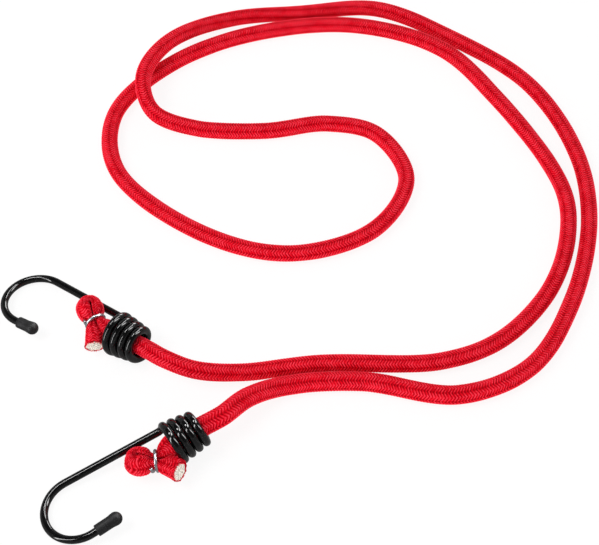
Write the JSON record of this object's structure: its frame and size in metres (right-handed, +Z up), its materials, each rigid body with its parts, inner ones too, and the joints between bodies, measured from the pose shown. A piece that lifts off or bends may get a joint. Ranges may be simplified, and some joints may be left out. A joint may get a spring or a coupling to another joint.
{
  "type": "bungee cord",
  "caption": "Elastic bungee cord in a braided cover, with a coiled wire hook at each end held on by a crimped knob, laid out in loose loops.",
  "frame": {"origin": "on the surface that the cord lies on, at the middle of the box of the two hooks with their knobs", "axes": "+Z up from the surface; +Y away from the viewer of the picture, from hook B towards hook A; +X to the right, from the hooks towards the cord's loops"},
  "size_m": [0.2769, 0.3114, 0.019],
  "materials": {
    "braid": "woven, slight sheen",
    "latex": "matte",
    "galvanised_wire": "bright galvanised",
    "coated_steel": "gloss coating",
    "soft_cap": "matte"
  },
  "bodies": {
    "cord": {"braided_cover": "braid", "rubber_core": "latex", "stretch_cover_a": "braid", "stretch_cover_b": "braid", "stretch_core_a": "latex", "stretch_core_b": "latex"},
    "end_a": {"end_loop_a": "braid", "end_core_a": "latex", "crimp_ring_a": "galvanised_wire"},
    "end_b": {"end_loop_b": "braid", "end_core_b": "latex", "crimp_ring_b": "galvanised_wire"},
    "hook_a": {"hook_wire_a": "coated_steel", "tip_cap_a": "soft_cap"},
    "hook_b": {"hook_wire_b": "coated_steel", "tip_cap_b": "soft_cap"}
  },
  "joints": [
    {"name": "stretch_a", "type": "slide", "parent": "cord", "child": "end_a", "axis": [-0.8126, 0.5828, 0], "range_m": [0, 0.05], "stiffness_N_per_m": 3000, "deforming": ["stretch_cover_a", "stretch_core_a"]},
    {"name": "stretch_b", "type": "slide", "parent": "cord", "child": "end_b", "axis": [-0.8755, -0.4833, 0], "range_m": [0, 0.05], "stiffness_N_per_m": 3000, "deforming": ["stretch_cover_b", "stretch_core_b"]},
    {"name": "swivel_a", "type": "hinge", "parent": "end_a", "child": "hook_a", "pos_m": [0.00753, 0.03028, 0.00923], "axis": [-0.8061, 0.5782, -0.1262], "range_deg": [-3, 130]},
    {"name": "swivel_b", "type": "hinge", "parent": "end_b", "child": "hook_b", "pos_m": [0.03228, -0.02462, 0.00923], "axis": [-0.8685, -0.4794, -0.1262], "range_deg": [-50, 110]}
  ]
}
